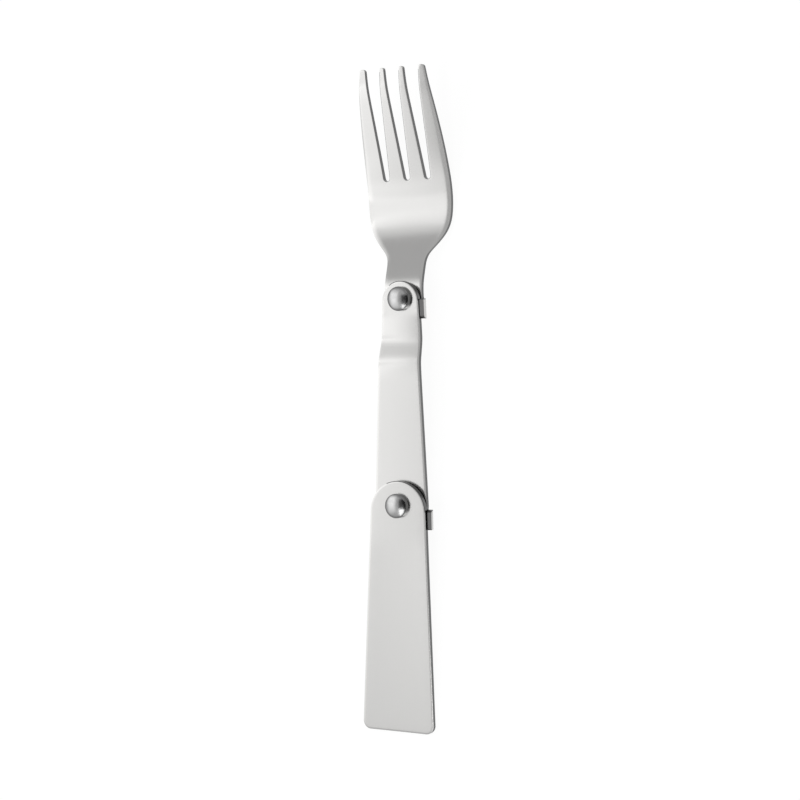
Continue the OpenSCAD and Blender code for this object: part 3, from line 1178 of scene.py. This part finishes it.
class Graph:
    """The node tree of one material."""

    def __init__(self, name: str) -> None:
        """Makes an empty material.

        Args:
            name: its name.
        """
        self.material = bpy.data.materials.new(name)
        self.material.use_nodes = True
        self.tree = self.material.node_tree
        self.tree.nodes.clear()

    def node(self, kind: str, settings: dict | None = None, inputs: dict | None = None) -> bpy.types.Node:
        """Adds a node.

        Args:
            kind: the node's type.
            settings: its settings.
            inputs: its sockets' values or links, by name or number.
        Returns:
            The node.
        """
        made = self.tree.nodes.new(kind)
        for key, value in (settings or {}).items():
            setattr(made, key, value)
        for key, value in (inputs or {}).items():
            source = value.socket if isinstance(value, Signal) else value
            if isinstance(source, bpy.types.NodeSocket):
                self.tree.links.new(source, made.inputs[key])
            else:
                made.inputs[key].default_value = source
        return made

    def signal(self, kind: str, output: str, settings: dict, inputs: dict | None = None) -> "Signal":
        """Adds a node and wraps one of its outputs."""
        return Signal(self, self.node(kind, settings, inputs).outputs[output])

    def finished(self, shader: bpy.types.Node) -> bpy.types.Material:
        """The material, with a shader on its surface."""
        self.tree.links.new(shader.outputs[0], self.node("ShaderNodeOutputMaterial").inputs[0])
        return self.material


class Signal:
    """A number that varies over a surface. Python's operators on it add Math nodes."""

    def __init__(self, graph: Graph, socket: bpy.types.NodeSocket) -> None:
        """Wraps an output socket."""
        self.graph = graph
        self.socket = socket

    def _math(self, operation: str, *values: "Signal | float", clamp: bool = False) -> "Signal":
        """Adds a Math node."""
        settings = {"operation": operation, "use_clamp": clamp}
        return self.graph.signal("ShaderNodeMath", "Value", settings, dict(enumerate(values)))

    def __add__(self, other: "Signal | float") -> "Signal":
        """Sum."""
        return self._math("ADD", self, other)

    def __radd__(self, other: float) -> "Signal":
        """Reflected sum."""
        return self._math("ADD", other, self)

    def __sub__(self, other: "Signal | float") -> "Signal":
        """Difference."""
        return self._math("SUBTRACT", self, other)

    def __rsub__(self, other: float) -> "Signal":
        """Reflected difference."""
        return self._math("SUBTRACT", other, self)

    def __mul__(self, other: "Signal | float") -> "Signal":
        """Product."""
        return self._math("MULTIPLY", self, other)

    def __rmul__(self, other: float) -> "Signal":
        """Reflected product."""
        return self._math("MULTIPLY", other, self)

    def clamped(self) -> "Signal":
        """Held between 0 and 1."""
        return self._math("ADD", self, 0.0, clamp=True)


def grey(value: float) -> Triple:
    """A grey colour."""
    return value, value, value


@dataclass(frozen=True)
class Steel:
    """A steel finish: its colour, its gloss, and how its worn edges, its haze and its polishing lines show.
    On the rivets the worn colour is painted shade on the rim.
    """

    name: str
    colour: Triple
    roughness: float
    # The colour that worn places take; on the rivets it is a dark grey that paints shade on the rim.
    worn: Triple = (0.64, 0.636, 0.628)
    haze: float = 0.05
    lines: float = 0.03
    bump: float = 0.02
    bump_m: float = 0.0001
    line_bump: float = 0.6
    speck_bump: float = 0.4
    line_stretch: Triple = (1400.0, 90.0, 1400.0)
    cloud_stretch: Triple = (60.0, 45.0, 60.0)
    speck_stretch: Triple = (900.0, 900.0, 900.0)
    base_tint: float = 0.25
    cloud_tint: float = 0.5
    line_tint: float = 0.35
    worn_tint: float = 0.6
    worn_gloss: float = 0.25

    def noise(self, graph: Graph, scale: Triple, detail: float) -> Signal:
        """Adds noise in the row frame.

        Args:
            graph: the material's nodes.
            scale: how fine the noise is in each direction.
            detail: how many finer layers it has.
        Returns:
            The noise, from 0 to 1.
        """
        place = graph.node("ShaderNodeTexCoord").outputs["Object"]
        stretched = graph.node("ShaderNodeVectorMath", {"operation": "MULTIPLY"}, {0: place, 1: scale})
        inputs = {"Vector": stretched.outputs[0], "Scale": 1.0, "Detail": detail, "Roughness": 0.6}
        return graph.signal("ShaderNodeTexNoise", "Fac", {}, inputs)

    def build(self) -> bpy.types.Material:
        """Makes the material.

        Returns:
            The material.
        """
        graph = Graph(self.name)
        cloud = self.noise(graph, self.cloud_stretch, 3.0)
        fine = self.noise(graph, self.line_stretch, 2.0)
        specks = self.noise(graph, self.speck_stretch, 1.0)
        worn_and_rim_shade = graph.signal("ShaderNodeAttribute", "Fac", {"attribute_name": "edge_worn_and_rim_shade"})
        rough = self.roughness + (cloud - 0.5) * self.haze + (fine - 0.5) * self.lines
        rough = rough - worn_and_rim_shade * (self.roughness * self.worn_gloss)
        # Worn edges of the leaves turn towards the worn colour; on the rivets this paints shade on the rim.
        shade = (cloud - 0.5) * self.cloud_tint + (fine - 0.5) * self.line_tint + worn_and_rim_shade * self.worn_tint
        shade = (shade + self.base_tint).clamped()
        mix_inputs = {"Factor": shade, 6: (*self.colour, 1.0), 7: (*self.worn, 1.0)}
        colour = graph.node("ShaderNodeMix", {"data_type": "RGBA"}, mix_inputs).outputs[2]
        height = fine * self.line_bump + specks * self.speck_bump
        bump_inputs = {"Height": height, "Strength": self.bump, "Distance": self.bump_m}
        bump = graph.node("ShaderNodeBump", {}, bump_inputs)
        inputs = {"Base Color": colour, "Roughness": rough.clamped(), "Metallic": 1.0}
        inputs["Normal"] = bump.outputs[0]
        return graph.finished(graph.node("ShaderNodeBsdfPrincipled", {}, inputs))


SATIN = Steel("satin_steel", (0.6, 0.596, 0.588), 0.18)
# The handle and the arm take the head's steel painted a little darker, as the shade that falls on them.
HANDLE_SHADED_SATIN = Steel("handle_shaded_satin_steel", (0.57, 0.566, 0.558), 0.22)
ARM_SHADED_SATIN = Steel("arm_shaded_satin_steel", (0.59, 0.586, 0.578), 0.19)
# Cut walls and some corners: rougher steel, painted dark grey as shade, standing in for the dark surroundings
# that they reflect.
SHADED_CUT_EDGE = Steel("shaded_cut_edge_steel", grey(0.11), 0.3, grey(0.14), haze=0.12, lines=0.1, bump=0.15)
# Slot walls, hole walls and the tabs' outer corner: darker still, painted shade for the shadow inside slots
# and holes.
DEEP_SHADED_EDGE = replace(SHADED_CUT_EDGE, name="deep_shaded_edge_steel", colour=grey(0.09), roughness=0.34)
# Rivet steel: its dark worn colour paints shade on the rim of each head.
MIRROR = Steel("mirror_steel", grey(0.64), 0.21, grey(0.24), lines=0.02, line_stretch=grey(700.0))
PLAIN = Steel("washer_steel", grey(0.5), 0.4, (0.86, 0.86, 0.855), haze=0.1, bump=0.1)


# ---------------- studio


def rectangle(name: str, size: Pair, height: float = 0.0) -> bpy.types.Mesh:
    """Makes a level rectangle round the origin.

    Args:
        name: its name.
        size: its width and its length.
        height: its height.
    Returns:
        The mesh.
    """
    w, h = size[0] / 2, size[1] / 2
    mesh = bpy.data.meshes.new(name)
    mesh.from_pydata([(-w, -h, height), (w, -h, height), (w, h, height), (-w, h, height)], [], [(0, 1, 2, 3)])
    return mesh


@dataclass
class Hung:
    """A rectangle that hangs in the studio and faces the middle of the fork. Its sizes are in metres."""

    name: str
    direction: Triple
    distance: float
    size: Pair

    def hang(self, thing: bpy.types.ID, space: LeafSpace, target: np.ndarray) -> bpy.types.Object:
        """Hangs a lamp or a mesh.

        Args:
            thing: the lamp or the mesh.
            space: the space of the leaves, in which the direction is given.
            target: the point it faces, in the row frame.
        Returns:
            The new object.
        """
        made = placed(self.name, thing)
        away = Vector(space.turned(np.array(self.direction))).normalized()
        side = Vector((0.0, 1.0, 0.0)).cross(away).normalized()
        turn = Matrix((side, away.cross(side), away)).transposed().to_4x4()
        made.matrix_world = Matrix.Translation(Vector(target) + away * self.distance) @ turn
        return made


@dataclass
class Softbox(Hung):
    """A rectangular lamp. Its edges fade, as it is made of lamps of growing size behind each other."""

    radiance: float = 1.0
    fade: Pair = (0.0, 0.0)
    drift: float = 0.0
    layers: int = 1
    layer_gap: float = 0.002
    only_on: list[bpy.types.Object] = field(default_factory=list)

    def build(self, space: LeafSpace, target: np.ndarray) -> None:
        """Makes the lamps, whose power follows from their size and their share of the radiance.

        Args:
            space: the space of the leaves.
            target: the point they face, in the row frame.
        """
        lit = bpy.data.collections.new(f"{self.name}_lights") if self.only_on else None
        for thing in self.only_on:
            lit.objects.link(thing)
        for i in range(self.layers):
            grown = (2 * i + 1) / self.layers - 1
            lamp = bpy.data.lights.new(self.name, "AREA")
            lamp.shape = "RECTANGLE"
            lamp.size = self.size[0] + self.fade[0] * grown
            lamp.size_y = self.size[1] + self.fade[1] * grown
            lamp.energy = self.radiance / self.layers * math.pi * lamp.size * lamp.size_y
            made = self.hang(lamp, space, target)
            moved = Matrix.Translation((0.0, self.drift * grown, self.layer_gap * i))
            made.matrix_world = made.matrix_world @ moved
            made.light_linking.receiver_collection = lit


@dataclass
class Card(Hung):
    """A dark card, which shows only in the rivets, as a fill lamp in front of it lights the leaves."""

    shade: float = 0.04
    fill_gap: float = 0.004

    def build(
        self, space: LeafSpace, target: np.ndarray, leaves: list[bpy.types.Object], fill: float
    ) -> None:
        """Makes the card and its fill lamp.

        Args:
            space: the space of the leaves.
            target: the point they face, in the row frame.
            leaves: what the fill lamp lights.
            fill: the fill lamp's radiance.
        """
        mesh = rectangle(self.name, self.size)
        graph = Graph(self.name)
        paint = graph.node("ShaderNodeBsdfDiffuse", {}, {"Color": (*grey(self.shade), 1.0)})
        mesh.materials.append(graph.finished(paint))
        made = self.hang(mesh, space, target)
        made.visible_camera = False
        made.visible_shadow = False
        made.visible_diffuse = False
        lamp = Softbox(f"{self.name}_fill", self.direction, self.distance - self.fill_gap, self.size, fill)
        lamp.only_on = leaves
        lamp.build(space, target)


@dataclass
class Studio:
    """The floor, the lamps, the plain sky and the camera.

    The camera's sizes and the middle, which the lamps face, are in millimetres. The floor's are in metres.
    """

    space: LeafSpace
    leaves: list[bpy.types.Object]
    target: Triple = (0.78, 25.48, 0.0)
    distance: float = 586.0
    field_w: float = 191.6627
    azimuth: float = 30.0
    pitch: float = 3.1
    roll: float = -0.22
    middle: Triple = (0.0, 20.0, 0.0)
    sky: float = 0.56
    fill_share: float = 0.95
    floor_size: float = 6.0
    floor_grey: float = 0.82
    floor_glow: float = 1.12
    glow_share: float = 0.8

    def camera(self) -> None:
        """Makes the camera, which looks at the leaves from the right and a little from above the tips."""
        a, e, r = (math.radians(v) for v in (self.azimuth, self.pitch, self.roll))
        back = np.array([math.sin(a) * math.cos(e), math.sin(e), math.cos(a) * math.cos(e)])
        level = np.array([math.cos(a), 0.0, -math.sin(a)])
        rising = np.cross(back, level)
        right = level * math.cos(r) + rising * math.sin(r)
        up = -level * math.sin(r) + rising * math.cos(r)
        lens = bpy.data.cameras.new("camera")
        lens.sensor_width = 36.0
        lens.lens = lens.sensor_width * self.distance / self.field_w
        lens.clip_start, lens.clip_end = 0.01, 50.0
        made = placed("camera", lens)
        place = Matrix.Translation(Vector(self.space.to_row(np.array(self.target) + self.distance * back)))
        axes = Matrix([Vector(self.space.turned(v)) for v in (right, up, back)])
        made.matrix_world = place @ axes.transposed().to_4x4()
        bpy.context.scene.camera = made

    def floor(self) -> None:
        """Makes the pale floor, which shows as white and keeps the fork's shadow."""
        mesh = rectangle("floor", (self.floor_size, self.floor_size), CAD_BOX[0].z)
        made = placed("floor", mesh)
        graph = Graph("white_floor")
        paper = graph.node("ShaderNodeBsdfDiffuse", {}, {"Color": (*grey(self.floor_grey), 1.0)})
        glow = {"Color": (*grey(1.0), 1.0), "Strength": self.floor_glow}
        bright = graph.node("ShaderNodeEmission", {}, glow)
        rays = graph.node("ShaderNodeLightPath").outputs
        kinds = ("Is Camera Ray", "Is Glossy Ray", "Is Transmission Ray")
        camera, glossy, through = (Signal(graph, rays[kind]) for kind in kinds)
        seen = (camera + glossy + through).clamped() * self.glow_share
        mix = graph.node("ShaderNodeMixShader", {}, {0: seen, 1: paper.outputs[0], 2: bright.outputs[0]})
        mesh.materials.append(graph.finished(mix))

    def light(self) -> None:
        """Makes the plain sky and hangs the softboxes and the cards."""
        world = bpy.data.worlds.new("sky")
        bpy.context.scene.world = world
        world.use_nodes = True
        world.node_tree.nodes["Background"].inputs[0].default_value = (*grey(self.sky), 1.0)
        middle = self.space.to_row(np.array(self.middle))
        key = Softbox("key_softbox", (-0.925, 0.0, 1.0), 0.5, (0.28, 0.40), 0.93)
        key.fade, key.layers = (0.106, 0.237), 6
        upper = Softbox("upper_softbox", (-0.925, 0.276, 1.0), 0.51, (0.28, 0.20), 0.38)
        upper.fade, upper.drift, upper.layers = (0.106, 0.147), 0.044, 3
        low = Softbox("low_softbox", (0.0, -0.55, 1.0), 0.38, (0.14, 0.20), 2.1)
        for box in (key, upper, low):
            box.build(self.space, middle)
        overhead = Card("overhead_card", (0.22, 0.0, 1.0), 0.32, (0.29, 0.215))
        side = Card("side_card", (0.90, 0.0, 0.42), 0.34, (0.30, 0.60))
        for card in (overhead, side):
            card.build(self.space, middle, self.leaves, self.sky * self.fill_share)

    def build(self) -> None:
        """Builds the studio."""
        self.camera()
        self.floor()
        self.light()
        bpy.context.scene.view_settings.view_transform = "Standard"
        LOG.info("studio ready")


# ---------------- main


def main() -> None:
    """Builds the fork, its finishes and the studio."""
    logging.basicConfig(level=logging.INFO, format="%(message)s")
    joints = {joint["name"]: joint for joint in frame["joints"]}
    space = LeafSpace.from_joint(joints["rear_fold"])
    x, y, z = (float(v) for v in space.from_row(joints["front_fold"]["pos_m"]))
    arm_lean = math.atan2(-x, y)
    head_lean = math.radians(180 - joints["front_fold"]["range_deg"][1])
    handle = Handle(space)
    arm = MiddleArm(space, handle, float(np.hypot(x, y)), arm_lean)
    head = ForkHead(space, arm, (x, y), z - SHEET_T - LEAF_GAP, arm_lean + head_lean)
    # The cut and the punched finish are the dark edge steels, painted as shade.
    cut, punched, mirror, plain = (finish.build() for finish in (SHADED_CUT_EDGE, DEEP_SHADED_EDGE, MIRROR, PLAIN))
    leaves = []
    for leaf, face in ((handle, HANDLE_SHADED_SATIN), (arm, ARM_SHADED_SATIN), (head, SATIN)):
        leaves.append(leaf.build())
        for finish in (face.build(), cut, punched):
            leaves[-1].data.materials.append(finish)
    front_place = LeafPlace(space, (x, y), arm_lean)
    for rivet in (
        Rivet("rear_rivet_turned", "rear_rivet", Body.HANDLE, Slot.RIVET, LeafPlace(space), 0.0),
        Rivet("front_rivet_turned", "front_rivet", Body.ARM, Slot.RIVET, front_place, z),
    ):
        rivet.build().data.materials.append(mirror)
    for node in ("rear_spacer_washer", "front_spacer_washer"):
        washer = frame["nodes"][node]
        washer.data.materials.clear()
        washer.data.materials.append(plain)
        LOG.info("%s: finished", node)
    Studio(space, leaves).build()


if __name__ == "__main__":
    main()
